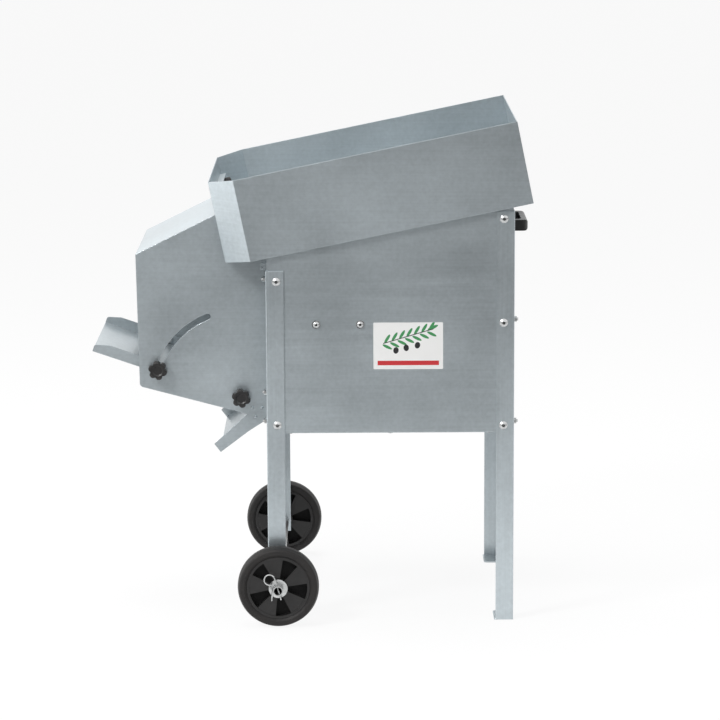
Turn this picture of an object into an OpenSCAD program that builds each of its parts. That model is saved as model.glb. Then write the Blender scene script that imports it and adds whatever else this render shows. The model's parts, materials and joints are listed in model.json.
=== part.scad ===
// Olive defoliator: a tilted hopper over a sheet-metal box on two wheels and two feet.
// A fan in the box blows leaves out through the hood, and the olives roll down the tray.
// +X points to the handle, the hood is at -X, +Z is up, the floor is Z = 0.

/* [Box] */
// Length of the box over the legs
box_len = 485; // [440:1:520]
// Width of the box over the legs
box_w = 510; // [460:1:560]
// Height of the underside of the box
box_bottom = 380; // [360:1:400]
// Height of the box's sloping top at its rear face
box_top_rear = 826; // [810:1:850]
// Thickness of the sheet of panels, hopper and hood
panel_t = 1.5; // [1:0.1:2]
// Width of the flanges that stiffen the panels
panel_flange = 25; // [18:1:30]

/* [Legs] */
// Width of each side of the leg angle
leg_w = 35; // [30:1:40]
// Thickness of the leg angle
leg_t = 2.5; // [2:0.1:3]
// Distance from the box's sloping top down to the front legs' tops
front_leg_drop = 25.3; // [20:0.1:32]
// Height of the front legs' lower ends
front_leg_bottom = 58; // [52:1:64]
// Distance from a leg's corner to its row of side screws
leg_screw_in = 21; // [18:0.5:24]
// Distance from a leg's corner to its row of end bolts
leg_bolt_in = 18; // [16:0.5:22]
// Length of the foot plate across the machine
foot_len = 60; // [45:1:80]
// Thickness of the foot plate
foot_t = 3; // [2:0.5:5]

/* [Hopper] */
// Slope of the hopper floor
tilt = 11.5; // [10:0.1:13]
// Length of the hopper along its floor
hopper_len = 612; // [590:1:640]
// Distance by which each side of the hopper stands out beyond the legs
hopper_out = 7; // [3:0.5:40]
// Height of the hopper walls, square to the floor
hopper_h = 162; // [150:1:180]
// Overhang of the hopper behind the box, along its floor
hopper_over = 36.2; // [30:0.1:45]
// Length of the front corner chamfers along the hopper
chamfer_len = 52; // [40:1:65]
// Width of the front corner chamfers across the hopper
chamfer_w = 60; // [45:1:66]
// Width of the olive outlet in the end panel
outlet_w = 280; // [200:1:300]
// Height of the olive outlet
outlet_h = 55; // [45:1:58]

/* [Gate] */
// Width of the gate
gate_w = 310; // [300:1:330]
// Distance from the hopper's rim down to the gate's lip at rest
gate_drop = 30; // [28:1:36]
// Depth of the gate's folded lip
gate_lip = 13.5; // [10:0.5:18]
// Travel of the gate
gate_travel = 45; // [35:1:45]
// Distance between the two gate studs
gate_stud_gap = 200; // [150:1:230]
// Distance from the rim down to the gate studs
gate_stud_drop = 52; // [50:1:56]
// Diameter of the gate studs
gate_stud_d = 8; // [6:0.5:8]

/* [Hood] */
// Width of the hood over its sides
hood_w = 342; // [330:1:360]
// Reach of the hood's mouth in front of the box
hood_reach = 257.5; // [240:0.5:280]
// Height of the top of the hood's mouth
mouth_top = 723.7; // [700:0.1:735]
// Height of the bottom of the hood's mouth
mouth_bottom = 459.3; // [450:0.1:470]
// Distance by which the mouth's lower corner lies behind its upper corner
mouth_lean = 4.3; // [0:0.1:10]
// Slope of the hood's top
hood_slope = 26.3; // [24:0.1:28]
// Radius of the hood's lower corners
hood_corner_r = 8; // [4:0.5:14]

/* [Tray] */
// Gap between each side of the tray and the hood
tray_gap = 7.5; // [6:0.5:20]
// Slope of the tray at rest
tray_slope = 19.1; // [17:0.1:21]
// Angle by which the tray lifts
tray_lift = 49; // [30:1:52]
// Length of the tray from its pivot to its tip
tray_reach = 308.7; // [280:0.1:320]
// Length of the tray behind its pivot
tray_tail = 15; // [10:1:20]
// Height of the tray's flanges
tray_flange = 22; // [18:0.5:26]
// Height of the flanges at the tip
tray_tip = 15; // [10:0.5:18]
// Height of the studs above the tray's underside
stud_rise = 10; // [9:0.5:12]
// Distance from the pivot forward of the box's front face
pivot_out = 51.9; // [48:0.1:56]
// Height of the pivot
pivot_z = 437.6; // [434:0.1:442]
// Distance from the pivot to the clamp stud
clamp_r = 174; // [160:1:185]
// Diameter of the pivot and clamp studs
stud_d = 10; // [8:0.5:10]
// Width of the curved slot
slot_w = 12; // [11:0.5:14]

/* [Chute] */
// Slope of the outlet chute
chute_slope = 37; // [35:0.5:38]
// Reach of the chute's tip in front of the box
chute_reach = 94.7; // [85:0.1:105]
// Height of the chute's tip
chute_tip_z = 324.6; // [318:0.1:330]
// Height of the chute's flanges at the tip
chute_flange = 20.9; // [16:0.1:24]

/* [Knobs] */
// Diameter of the star knobs over their lobes
knob_d = 38; // [34:1:38]
// Height of a knob's lobed head
knob_head = 14; // [10:0.5:18]
// Height of a knob's collar
knob_collar = 7; // [5:0.5:10]

/* [Wheels] */
// Diameter of the tyres
tyre_d = 160; // [150:1:170]
// Width of the tyres
tyre_w = 40; // [34:1:46]
// Diameter of the wheel rims
rim_d = 124; // [116:1:128]
// Distance from the box's front face to the axle
axle_in = 20.5; // [18:0.5:24]
// Gap between a leg and the wheel beside it
wheel_gap = 12; // [10:0.5:18]
// Outer diameter of the axle tube
axle_d = 20; // [18:0.5:20]
// Bore of the axle tube
axle_bore = 16; // [12:0.5:16]
// Length of the axle tube outside each wheel
axle_end = 22; // [18:0.5:28]

/* [Fan] */
// Diameter of the fan over its blades
fan_d = 255; // [230:1:262]
// Height of the motor bracket's screws
bracket_z = 596; // [590:1:604]
// Distance from the box's front face to the middle of the motor
motor_in = 141; // [138:1:150]
// Distance between the two bracket screws on each side
bracket_pitch = 86; // [76:1:96]
// Height of the motor's axis below its feet
motor_centre = 71; // [70:1:74]
// Diameter of the motor's shaft
shaft_d = 14; // [11:0.5:16]

/* [Handle] */
// Length of the bow handle
handle_len = 136; // [120:1:150]
// Height of the handle's section
handle_h = 22; // [18:1:28]
// Reach of the handle behind the box's rear face
handle_reach = 36.5; // [34:0.5:48]
// Distance from the box's top down to the middle of the handle
handle_drop = 63; // [55:1:80]

/* [Switch] */
// Length of the switch box
switch_l = 64; // [60:1:80]
// Height of the switch box
switch_h = 96; // [90:1:110]
// Depth of the switch box
switch_dp = 52; // [45:1:60]
// Distance from the box's front face to the middle of the switch box
switch_in = 330; // [320:1:350]
// Height of the middle of the switch box
switch_z = 640; // [610:1:660]
// Diameter of the two buttons
button_d = 22; // [18:1:24]
// Travel of the buttons
button_travel = 4; // [2:0.5:5]

/* [Hidden] */
$fn = 48;
zinc = "#a9adab";
steel = "#c3c6c4";
plastic = "#202020";

// Clearances: sliding faces, turning fits and bolt holes
gap = 0.3;
fit = 0.05;
hole_gap = 0.4;
cut = 1;

// The tray's tip and the rear of the handle or hopper are equally far from X = 0
tip_out = pivot_out + tray_reach * cos(tray_slope) + stud_rise * sin(tray_slope);
rear_out = max(handle_reach, hopper_over * cos(tilt));
front_x = (tip_out - box_len - rear_out) / 2;
rear_x = front_x + box_len;
side_y = box_w / 2;
panel_y = side_y - leg_t;
inner_y = panel_y - panel_t;
panel_x0 = front_x + leg_t;
panel_x1 = rear_x - leg_t;
panel_z0 = box_bottom + panel_t;
function top_z(x) = box_top_rear - (rear_x - x) * tan(tilt);
front_leg_top = top_z(front_x) - front_leg_drop;
rear_leg_top = top_z(rear_x - leg_w) - 2.5;

// Side screws and end bolts of the legs, as heights
front_screw_z = [box_bottom + 16, front_leg_top - 21];
rear_screw_low = box_bottom + 14;
rear_screw_top = rear_leg_top - 14;
rear_screw_z = [rear_screw_low, (rear_screw_low + rear_screw_top) / 2, rear_screw_top];
front_bolt_z = [box_bottom + 22, box_bottom + 80, front_leg_top - 18];
rear_bolt_z = [box_bottom + 19.5, (rear_screw_low + rear_screw_top) / 2 + 4];
screw_d = 8;
bolt_d = 6;
sheet_screw_d = 5;

// Hopper
hopper_w = box_w + 2 * hopper_out;
hopper_x = rear_x + hopper_over * cos(tilt);
hopper_z = box_top_rear + hopper_over * sin(tilt);
hopper_y = hopper_w / 2;
end_y = hopper_y - chamfer_w;
chamfer_turn = atan(chamfer_w / chamfer_len);
side_mitre = panel_t * tan(chamfer_turn / 2);
end_mitre = panel_t * tan((90 - chamfer_turn) / 2);
foot = [hopper_x - hopper_len * cos(tilt), hopper_z - hopper_len * sin(tilt)];
outlet_z0 = panel_t + 0.5;

// Gate, in the hopper's own frame
gate_x = -hopper_len + panel_t + gap;
gate_top = hopper_h - gate_drop;
gate_stud_z = hopper_h - gate_stud_drop;
gate_washer_t = 1.5;
gate_knob_x = gate_x + panel_t + gap + gate_washer_t + gap;

// Hood
hood_y = hood_w / 2;
hood_in = hood_y - panel_t;
mouth_x = front_x - hood_reach;
rise = tan(hood_slope);
hood_climb = (mouth_top + (foot[0] - mouth_x) * rise - foot[1]) / (cos(tilt) + rise * sin(tilt));
hood_back = [foot[0] - hood_climb * sin(tilt), foot[1] + hood_climb * cos(tilt)];
mouth_low = [mouth_x + mouth_lean, mouth_bottom];
tab_x = front_x - 42;
tab_top = [tab_x, mouth_bottom - (tab_x - mouth_low[0]) * tan(15)];
tab_low = [tab_x, pivot_z - 72.6];
tab_mid = [front_x - 9.3, pivot_z - 51.6];
tab_box = [panel_x0, pivot_z - 46];
hood_flange = 15;

// Tray
pivot_x = front_x - pivot_out;
tray_w = hood_w - 2 * panel_t - 2 * tray_gap;
tray_y = tray_w / 2;
spacer_d = 16;
stud_head_d = 17;
stud_head_h = 4;
washer_t = 1.5;
washer_d = 24;
knob_seat = hood_y + gap + washer_t + gap;
stud_end = knob_seat + knob_collar + 6;

// Chute
chute_tip = [front_x - chute_reach, chute_tip_z];

// Wheels
axle_x = front_x + axle_in;
axle_z = tyre_d / 2;
wheel_y0 = side_y + wheel_gap;
wheel_y1 = wheel_y0 + tyre_w;
axle_half = wheel_y1 + axle_end;
clip_y = wheel_y1 + 11;
clip_wire = 3;

// Fan and motor
motor_x = front_x + motor_in;
bracket_t = 3;
bracket_top = bracket_z + 18;
fan_z = bracket_top - bracket_t - motor_centre;
ring_r = fan_d / 2 + 2.5;
ring_t = 2;
ring_len = 48;
guard_r = ring_r + 9;
shaft_front = panel_x0 + 14;
motor_half = 65;
shield_t = 18;
motor_r = 58;
cowl_len = 58;
cowl_t = 2;
fan_x0 = panel_x0 + 20;
fan_dp = 28;
hub_r = 34;
bearing_w = 11;
bearing_r = 17.5;

// Handle and switch
handle_z = box_top_rear - handle_drop;
handle_bar = 13;
handle_foot = 14;
switch_x = front_x + switch_in;
switch_wall = 3;
button_pitch = 38;

// A point of the box's side view, moved along a direction
function unit(v) = v / norm(v);
function polar(r, a) = [r * cos(a), r * sin(a)];

// Points of an arc of radius r that rounds corner b between a and c
function fillet(a, b, c, r, n = 6) =
    let (u = unit(a - b), v = unit(c - b), half = acos(u * v) / 2)
    let (m = b + unit(u + v) * r / sin(half), s = b + u * r / tan(half) - m)
    let (side = sign(cross(b - a, c - b)), turn = 180 - 2 * half)
    [for (i = [0 : n]) m + polar(r, atan2(s[1], s[0]) + side * turn * i / n)];

// A flat outline of the side view, as thick as y0 to y1
module side_cut(y0, y1) translate([0, y1, 0]) rotate([90, 0, 0]) linear_extrude(y1 - y0) children();

// Local +Z points out of the near or far side, or out of the front or rear end
module on_side(far, x, z, y) translate([x, far ? y : -y, z]) rotate([far ? -90 : 90, 0, 0]) children();
module on_end(rear, x, y, z) translate([x, y, z]) rotate([0, rear ? 90 : -90, 0]) children();
module in_hopper() translate([hopper_x, 0, hopper_z]) rotate([0, -tilt, 0]) children();
module in_tray() translate([pivot_x, 0, pivot_z]) rotate([0, tray_slope, 0]) children();
module at_leg(rear, far) {
    translate([rear ? rear_x : front_x, far ? side_y : -side_y, 0])
        mirror([rear ? 1 : 0, 0, 0])
        mirror([0, far ? 1 : 0, 0])
        children();
}

// Fasteners: each stands on Z = 0 with its shank below
module button_screw(len, head_d = 16.5, head_h = 4.4, socket = 6) {
    dome = (head_d * head_d / 4 + head_h * head_h) / (2 * head_h) + 1;
    difference() {
        union() {
            intersection() {
                cylinder(d = head_d, h = head_h);
                translate([0, 0, head_h - dome]) sphere(dome);
            }
            translate([0, 0, -len]) cylinder(d = screw_d, h = len + cut);
        }
        translate([0, 0, head_h - 4]) cylinder(d = socket / cos(30), h = 4 + cut, $fn = 6);
    }
}
module hex_nut(bore, width, height) {
    difference() {
        cylinder(d = width / cos(30), h = height, $fn = 6);
        translate([0, 0, -cut]) cylinder(d = bore, h = height + 2 * cut);
    }
}
module hex_bolt(len, width = 10, height = 4) {
    cylinder(d = width / cos(30), h = height, $fn = 6);
    translate([0, 0, -len]) cylinder(d = bolt_d, h = len + cut / 2);
}
module sheet_screw(len) {
    difference() {
        union() {
            cylinder(d = 9, h = 3.2);
            translate([0, 0, -len]) cylinder(d = sheet_screw_d, h = len + cut);
        }
        translate([0, 0, 1.6]) cylinder(d = 3 / cos(30), h = 3, $fn = 6);
    }
}
module rivet(grip) {
    intersection() {
        cylinder(d = 7, h = 1.2);
        translate([0, 0, 1.2 - 6]) sphere(6);
    }
    translate([0, 0, -grip - 2.5]) cylinder(d = 4, h = grip + 3);
    translate([0, 0, -grip - 2.5]) cylinder(d = 6, h = 2.5);
}
module ring_plate(outer, inner, thick) {
    difference() {
        cylinder(d = outer, h = thick);
        translate([0, 0, -cut]) cylinder(d = inner, h = thick + 2 * cut);
    }
}

// Legs
module leg_angle(bottom, top) {
    outline = concat(fillet([0, 10], [0, 0], [10, 0], leg_t, 4),
        [[leg_w, 0], [leg_w, leg_t], [leg_t, leg_t], [leg_t, leg_w], [0, leg_w]]);
    translate([0, 0, bottom]) linear_extrude(top - bottom) polygon(outline);
}
module leg_holes(screw_z, bolt_z) {
    for (z = screw_z) translate([leg_screw_in, -cut, z])
        rotate([-90, 0, 0]) cylinder(d = screw_d + hole_gap, h = leg_t + 2 * cut);
    for (z = bolt_z) translate([-cut, leg_bolt_in, z])
        rotate([0, 90, 0]) cylinder(d = bolt_d + hole_gap, h = leg_t + 2 * cut);
}
module front_leg() {
    color(zinc) difference() {
        leg_angle(front_leg_bottom, front_leg_top);
        leg_holes(front_screw_z, front_bolt_z);
        translate([axle_in, -cut, axle_z])
            rotate([-90, 0, 0]) cylinder(d = axle_d + 2 * fit, h = leg_t + 2 * cut);
    }
}
module rear_leg() {
    plate_x = leg_w + 3;
    foot_r = 8;
    color(zinc) difference() {
        union() {
            leg_angle(0, rear_leg_top);
            linear_extrude(foot_t) polygon(concat([[0, 0], [plate_x, 0]],
                fillet([plate_x, 0], [plate_x, foot_len], [0, foot_len], foot_r),
                fillet([plate_x, foot_len], [0, foot_len], [0, 0], foot_r)));
        }
        leg_holes(rear_screw_z, rear_bolt_z);
    }
}
module leg_front_near() at_leg(false, false) front_leg();
module leg_front_far() at_leg(false, true) front_leg();
module leg_rear_near() at_leg(true, false) rear_leg();
module leg_rear_far() at_leg(true, true) rear_leg();

// Side panels, with their flanges turned into the box
module side_panel(far) {
    x0 = panel_x0 + panel_t;
    x1 = panel_x1 - panel_t;
    slab = panel_t / cos(tilt);
    y0 = far ? inner_y : -panel_y;
    f0 = far ? inner_y - panel_flange : -panel_y;
    f1 = far ? panel_y : -inner_y + panel_flange;
    color(zinc) difference() {
        union() {
            side_cut(y0, y0 + panel_t) polygon([[panel_x0, panel_z0], [panel_x1, panel_z0],
                [panel_x1, top_z(panel_x1)], [panel_x0, top_z(panel_x0)]]);
            side_cut(f0, f1) polygon([[x0, panel_z0], [x1, panel_z0],
                [x1, panel_z0 + panel_t], [x0, panel_z0 + panel_t]]);
            side_cut(f0, f1) polygon([[x0, top_z(x0) - slab], [x1, top_z(x1) - slab],
                [x1, top_z(x1)], [x0, top_z(x0)]]);
        }
        for (p = side_screws) on_side(far, p[0], p[1], inner_y - cut)
            cylinder(d = screw_d + hole_gap, h = panel_t + 2 * cut);
        for (x = sheet_xs) {
            translate([x, flange_mid(far), panel_z0 - cut])
                cylinder(d = sheet_screw_d + hole_gap, h = panel_t + 2 * cut);
            in_hopper() translate([x_on_floor(x), flange_mid(far), -3 * panel_t])
                cylinder(d = sheet_screw_d + hole_gap, h = 4 * panel_t);
        }
    }
}
bracket_xs = [motor_x - bracket_pitch / 2, motor_x + bracket_pitch / 2];
side_screws = concat([for (z = front_screw_z) [front_x + leg_screw_in, z]],
    [for (z = rear_screw_z) [rear_x - leg_screw_in, z]], [for (x = bracket_xs) [x, bracket_z]]);
sheet_xs = [front_x + 45.5, (front_x + rear_x) / 2, rear_x - 47.5];
function flange_mid(far) = (far ? 1 : -1) * (inner_y - panel_flange / 2);
function x_on_floor(x) = -(hopper_x - x) / cos(tilt);
module side_panel_near() side_panel(false);
module side_panel_far() side_panel(true);

// End panels, with a flange under the hopper floor
module end_panel(x0, inward) {
    x1 = x0 + panel_t;
    f0 = inward > 0 ? x0 : x1 - panel_flange;
    f1 = inward > 0 ? x0 + panel_flange : x1;
    slab = panel_t / cos(tilt);
    flange_y = inner_y - panel_flange - 2;
    side_cut(-inner_y, inner_y) polygon([[x0, panel_z0], [x1, panel_z0], [x1, top_z(x1)], [x0, top_z(x0)]]);
    side_cut(-flange_y, flange_y) polygon([[f0, top_z(f0) - slab], [f1, top_z(f1) - slab],
        [f1, top_z(f1)], [f0, top_z(f0)]]);
}
ear_z = front_leg_top + 7;
module front_panel() {
    color(zinc) difference() {
        union() {
            end_panel(panel_x0, 1);
            for (s = [-1, 1])
                translate([front_x - 9.5, s * (side_y - leg_bolt_in) - leg_t / 2, front_leg_top + 0.7])
                    cube([9.5 + leg_t + panel_t / 2, leg_t, 12.6]);
        }
        translate([panel_x0 - cut, 0, fan_z]) rotate([0, 90, 0]) cylinder(r = ring_r, h = panel_t + 2 * cut);
        for (s = [-1, 1], z = front_bolt_z)
            translate([panel_x0 - cut, s * (side_y - leg_bolt_in), z])
                rotate([0, 90, 0]) cylinder(d = bolt_d + hole_gap, h = panel_t + 2 * cut);
        for (s = [-1, 1])
            translate([front_x - 5, s * (side_y - leg_bolt_in) - leg_t, ear_z])
                rotate([-90, 0, 0]) cylinder(d = 4.5, h = 2 * leg_t);
        for (a = guard_angles) guard_hole(panel_x0 - cut, a);
        for (s = [-1, 1], z = hood_rivet_z)
            translate([panel_x0 - cut, s * (hood_in - hood_flange / 2), z])
                rotate([0, 90, 0]) cylinder(d = 4.4, h = panel_t + 2 * cut);
    }
}
guard_angles = [45, 135, 225, 315];
hood_rivet_z = [tab_box[1] + 50, (mouth_bottom + mouth_top) / 2, top_z(panel_x0) - 40];
module guard_hole(x, a) {
    translate([x, 0, fan_z]) rotate([a, 0, 0]) translate([0, guard_r - 4.5, 0])
        rotate([0, 90, 0]) cylinder(d = sheet_screw_d + hole_gap, h = panel_t + 2 * cut);
}
module rear_panel() {
    color(zinc) difference() {
        end_panel(panel_x1 - panel_t, -1);
        translate([panel_x1 - panel_t - cut, 0, fan_z])
            rotate([0, 90, 0]) cylinder(r = ring_r, h = panel_t + 2 * cut);
        for (s = [-1, 1], z = rear_bolt_z)
            translate([panel_x1 - panel_t - cut, s * (side_y - leg_bolt_in), z])
                rotate([0, 90, 0]) cylinder(d = bolt_d + hole_gap, h = panel_t + 2 * cut);
        for (s = [-1, 1])
            translate([panel_x1 - panel_t - cut, s * handle_bolt_y, handle_z])
                rotate([0, 90, 0]) cylinder(d = bolt_d + hole_gap, h = panel_t + 2 * cut);
        for (a = guard_angles) guard_hole(panel_x1 - panel_t - cut, a);
    }
}
module bottom_panel() {
    color(zinc) difference() {
        translate([panel_x0, -panel_y, box_bottom]) cube([panel_x1 - panel_x0, 2 * panel_y, panel_t]);
        for (x = sheet_xs, far = [false, true])
            translate([x, flange_mid(far), box_bottom - cut])
                cylinder(d = sheet_screw_d + hole_gap, h = panel_t + 2 * cut);
    }
}

// Screws of the legs, the motor bracket and the motor's feet, with their nuts
grip = leg_t + panel_t;
nut_h = 6.5;
bracket_grip = panel_t + bracket_t;
motor_feet = [for (x = [-45, 45], y = [-56, 56]) [motor_x + x, y]];
module each_leg_screw() {
    for (far = [false, true]) {
        for (z = front_screw_z) on_side(far, front_x + leg_screw_in, z, side_y) children();
        for (z = rear_screw_z) on_side(far, rear_x - leg_screw_in, z, side_y) children();
    }
}
module each_bracket_screw() {
    for (far = [false, true], x = bracket_xs) on_side(far, x, bracket_z, panel_y) children();
}
module button_screws() {
    color(steel) {
        each_leg_screw() button_screw(grip + nut_h + 2);
        each_bracket_screw() {
            translate([0, 0, washer_t]) button_screw(bracket_grip + nut_h + washer_t + 2, 13, 4.4, 5);
            ring_plate(16.5, screw_d + hole_gap, washer_t);
        }
        for (p = motor_feet)
            translate([p[0], p[1], bracket_top]) button_screw(bracket_t + 9, 14, 4.4, 5);
    }
}
module large_nuts() {
    color(steel) {
        each_leg_screw() translate([0, 0, -grip - nut_h]) hex_nut(screw_d + 0.1, 13, nut_h);
        each_bracket_screw() translate([0, 0, -bracket_grip - nut_h]) hex_nut(screw_d + 0.1, 13, nut_h);
    }
}
module each_panel_bolt() {
    for (s = [-1, 1]) {
        for (z = front_bolt_z) on_end(true, panel_x0 + panel_t, s * (side_y - leg_bolt_in), z) children();
        for (z = rear_bolt_z) on_end(false, panel_x1 - panel_t, s * (side_y - leg_bolt_in), z) children();
    }
}
handle_bolt_y = handle_len / 2 - handle_foot / 2;
bolt_nut_h = 5;
module panel_bolts() {
    color(steel) {
        each_panel_bolt() hex_bolt(grip + bolt_nut_h + 3);
        for (s = [-1, 1]) on_end(false, panel_x1 - panel_t, s * handle_bolt_y, handle_z)
            hex_bolt(panel_t + 16);
    }
}
module panel_nuts() {
    color(steel) each_panel_bolt()
        translate([0, 0, -grip - bolt_nut_h]) hex_nut(bolt_d + 0.1, 10, bolt_nut_h);
}
module sheet_screws() {
    color(steel) {
        for (x = sheet_xs, far = [false, true]) {
            translate([x, flange_mid(far), box_bottom]) mirror([0, 0, 1]) sheet_screw(8);
            in_hopper() translate([x_on_floor(x), flange_mid(far), panel_t]) sheet_screw(8);
        }
        for (a = guard_angles) {
            translate([panel_x0 - guard_t, 0, fan_z]) rotate([a, 0, 0]) translate([0, guard_r - 4.5, 0])
                rotate([0, -90, 0]) sheet_screw(guard_t + panel_t + ring_t + 4);
            translate([panel_x1 + guard_t, 0, fan_z]) rotate([a, 0, 0]) translate([0, guard_r - 4.5, 0])
                rotate([0, 90, 0]) sheet_screw(guard_t + panel_t + 4);
        }
    }
}

// Hopper, drawn in its own frame: X runs along the floor, Z square to it
inner_end = hopper_len - panel_t;
inner_side = hopper_y - panel_t;
module hopper_floor() {
    color(zinc) in_hopper() difference() {
        linear_extrude(panel_t) polygon([
            [-panel_t, -inner_side], [-panel_t, inner_side],
            [-hopper_len + chamfer_len + side_mitre, inner_side], [-inner_end, end_y - end_mitre],
            [-inner_end, -end_y + end_mitre], [-hopper_len + chamfer_len + side_mitre, -inner_side]]);
        for (x = sheet_xs, far = [false, true])
            translate([x_on_floor(x), flange_mid(far), -cut])
                cylinder(d = sheet_screw_d + hole_gap, h = panel_t + 2 * cut);
    }
}
module hopper_side() {
    color(zinc) in_hopper() linear_extrude(hopper_h) polygon([
        [0, -hopper_y], [-hopper_len + chamfer_len, -hopper_y], [-hopper_len, -end_y],
        [-inner_end, -end_y + end_mitre], [-hopper_len + chamfer_len + side_mitre, -inner_side],
        [0, -inner_side]]);
}
module hopper_side_near() hopper_side();
module hopper_side_far() mirror([0, 1, 0]) hopper_side();
module hopper_end_panel() {
    color(zinc) in_hopper() difference() {
        linear_extrude(hopper_h) polygon([[-hopper_len, -end_y], [-hopper_len, end_y],
            [-inner_end, end_y - end_mitre], [-inner_end, -end_y + end_mitre]]);
        translate([-hopper_len - cut, -outlet_w / 2, outlet_z0])
            cube([panel_t + 2 * cut, outlet_w, outlet_h]);
    }
}
module hopper_rear_wall() {
    color(zinc) in_hopper() translate([-panel_t, -inner_side, 0]) cube([panel_t, 2 * inner_side, hopper_h]);
}

// Gate, its studs and its knobs
module gate_studs() {
    color(steel) in_hopper() for (s = [-1, 1]) translate([-inner_end, s * gate_stud_gap / 2, gate_stud_z])
        rotate([0, 90, 0]) {
            cylinder(d = gate_stud_d, h = gate_knob_x + inner_end + knob_collar + 6);
            translate([0, 0, panel_t + 2 * gap]) cylinder(d = 22, h = gate_washer_t);
        }
}
module gate() {
    slot = gate_stud_d + 1;
    z0 = panel_t + gap;
    color(zinc) in_hopper() difference() {
        union() {
            translate([gate_x, -gate_w / 2, z0]) cube([panel_t, gate_w, gate_top - z0]);
            translate([gate_x, -gate_w / 2, gate_top - panel_t]) cube([gate_lip, gate_w, panel_t]);
        }
        for (s = [-1, 1]) translate([gate_x - cut, s * gate_stud_gap / 2, gate_stud_z]) {
            rotate([0, 90, 0]) cylinder(d = slot, h = panel_t + 2 * cut);
            translate([0, 0, -gate_travel]) rotate([0, 90, 0]) cylinder(d = slot, h = panel_t + 2 * cut);
            translate([0, -slot / 2, -gate_travel]) cube([panel_t + 2 * cut, slot, gate_travel]);
        }
    }
}

// Star knob with six lobes and a dished face: it stands on its collar
module star_knob(bore) {
    lobe = 6.5;
    lobe_at = knob_d / 2 - lobe;
    tall = knob_collar + knob_head;
    color(plastic) difference() {
        union() {
            cylinder(d = knob_d * 0.5, h = knob_collar + cut);
            intersection() {
                translate([0, 0, knob_collar]) {
                    cylinder(r = lobe_at + 2, h = knob_head);
                    for (k = [0 : 5])
                        rotate(60 * k) translate([lobe_at, 0, 0]) cylinder(r = lobe, h = knob_head);
                }
                rotate_extrude() polygon([[0, 0], [knob_d / 2 - 2, 0], [knob_d / 2 - 2, knob_collar],
                    [knob_d / 2 + 1, knob_collar + 3], [knob_d / 2 + 1, tall - 4],
                    [knob_d / 2 - 1, tall - 1.2], [knob_d / 2 - 4, tall], [0, tall]]);
            }
        }
        translate([0, 0, -cut]) cylinder(d = bore, h = knob_collar + 6.5 + cut);
        translate([0, 0, tall - 2]) cylinder(r1 = knob_d / 4 - 1, r2 = knob_d / 4 + 2, h = 2 + cut / 4);
    }
}
module gate_knob(s) {
    in_hopper() translate([gate_knob_x, s * gate_stud_gap / 2, gate_stud_z])
        rotate([0, 90, 0]) star_knob(gate_stud_d + 2 * fit);
}
module gate_knob_near() gate_knob(-1);
module gate_knob_far() gate_knob(1);

// Hood side: its outline, the curved slot and the tab that carries the chute
slot_a0 = 180 - tray_slope;
slot_a1 = slot_a0 - tray_lift;
module curved_slot() {
    steps = 14;
    pivot = [pivot_x, pivot_z];
    outer = [for (i = [0 : steps]) pivot + polar(clamp_r + slot_w / 2, slot_a0 - tray_lift * i / steps)];
    inner = [for (i = [0 : steps]) pivot + polar(clamp_r - slot_w / 2, slot_a1 + tray_lift * i / steps)];
    cap1 = [for (i = [1 : 7]) pivot + polar(clamp_r, slot_a1) + polar(slot_w / 2, slot_a1 - 22.5 * i)];
    cap0 = [for (i = [1 : 7]) pivot + polar(clamp_r, slot_a0) + polar(slot_w / 2, slot_a0 + 180 - 22.5 * i)];
    polygon(concat(outer, cap1, inner, cap0));
}
hood_outline = concat(
    [[mouth_x, mouth_top], hood_back, foot, [panel_x0, top_z(panel_x0)], tab_box, tab_mid, tab_low, tab_top],
    fillet(tab_top, mouth_low, [mouth_x, mouth_top], hood_corner_r));
module hood_side(far) {
    y0 = far ? hood_in : -hood_y;
    f0 = far ? hood_in - hood_flange : -hood_in;
    color(zinc) difference() {
        union() {
            side_cut(y0, y0 + panel_t) polygon(hood_outline);
            translate([panel_x0 - panel_t, f0, tab_box[1] + 36])
                cube([panel_t, hood_flange, top_z(panel_x0) - tab_box[1] - 56]);
        }
        side_cut(y0 - cut, y0 + panel_t + cut) curved_slot();
        on_side(far, pivot_x, pivot_z, hood_in - cut) cylinder(d = stud_d + hole_gap, h = panel_t + 2 * cut);
        for (p = chute_rivets)
            on_side(far, p[0], p[1], hood_in - cut) cylinder(d = 4.4, h = panel_t + 2 * cut);
        for (z = hood_rivet_z)
            translate([panel_x0 - panel_t - cut, (far ? 1 : -1) * (hood_in - hood_flange / 2), z])
                rotate([0, 90, 0]) cylinder(d = 4.4, h = panel_t + 2 * cut);
    }
}
chute_rivets = [[front_x - 24.7, pivot_z - 41], [front_x - 12, pivot_z - 22.2],
    [front_x - 31.1, pivot_z - 22.5]];
module hood_side_near() hood_side(false);
module hood_side_far() hood_side(true);

module hood_top() {
    a = [mouth_x, mouth_top];
    w = panel_t / cos(hood_slope);
    low = 14;
    along = unit(hood_back - a);
    color(zinc) {
        side_cut(-hood_in, hood_in)
            polygon([a, hood_back, hood_back + [sin(tilt), -cos(tilt)] * w, a - [0, w]]);
        for (y = [-hood_in, hood_in - panel_t])
            side_cut(y, y + panel_t) polygon([a - [0, w / 2], hood_back - [0, w / 2],
                hood_back - along * 10 - [0, low], a + along * 5 - [0, low]]);
    }
}
module rivets() {
    color(steel) {
        for (far = [false, true]) {
            for (p = chute_rivets) on_side(far, p[0], p[1], hood_y) rivet(2 * panel_t);
            for (z = hood_rivet_z)
                translate([panel_x0 - panel_t, (far ? 1 : -1) * (hood_in - hood_flange / 2), z])
                    rotate([0, -90, 0]) rivet(2 * panel_t);
        }
    }
}

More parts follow.
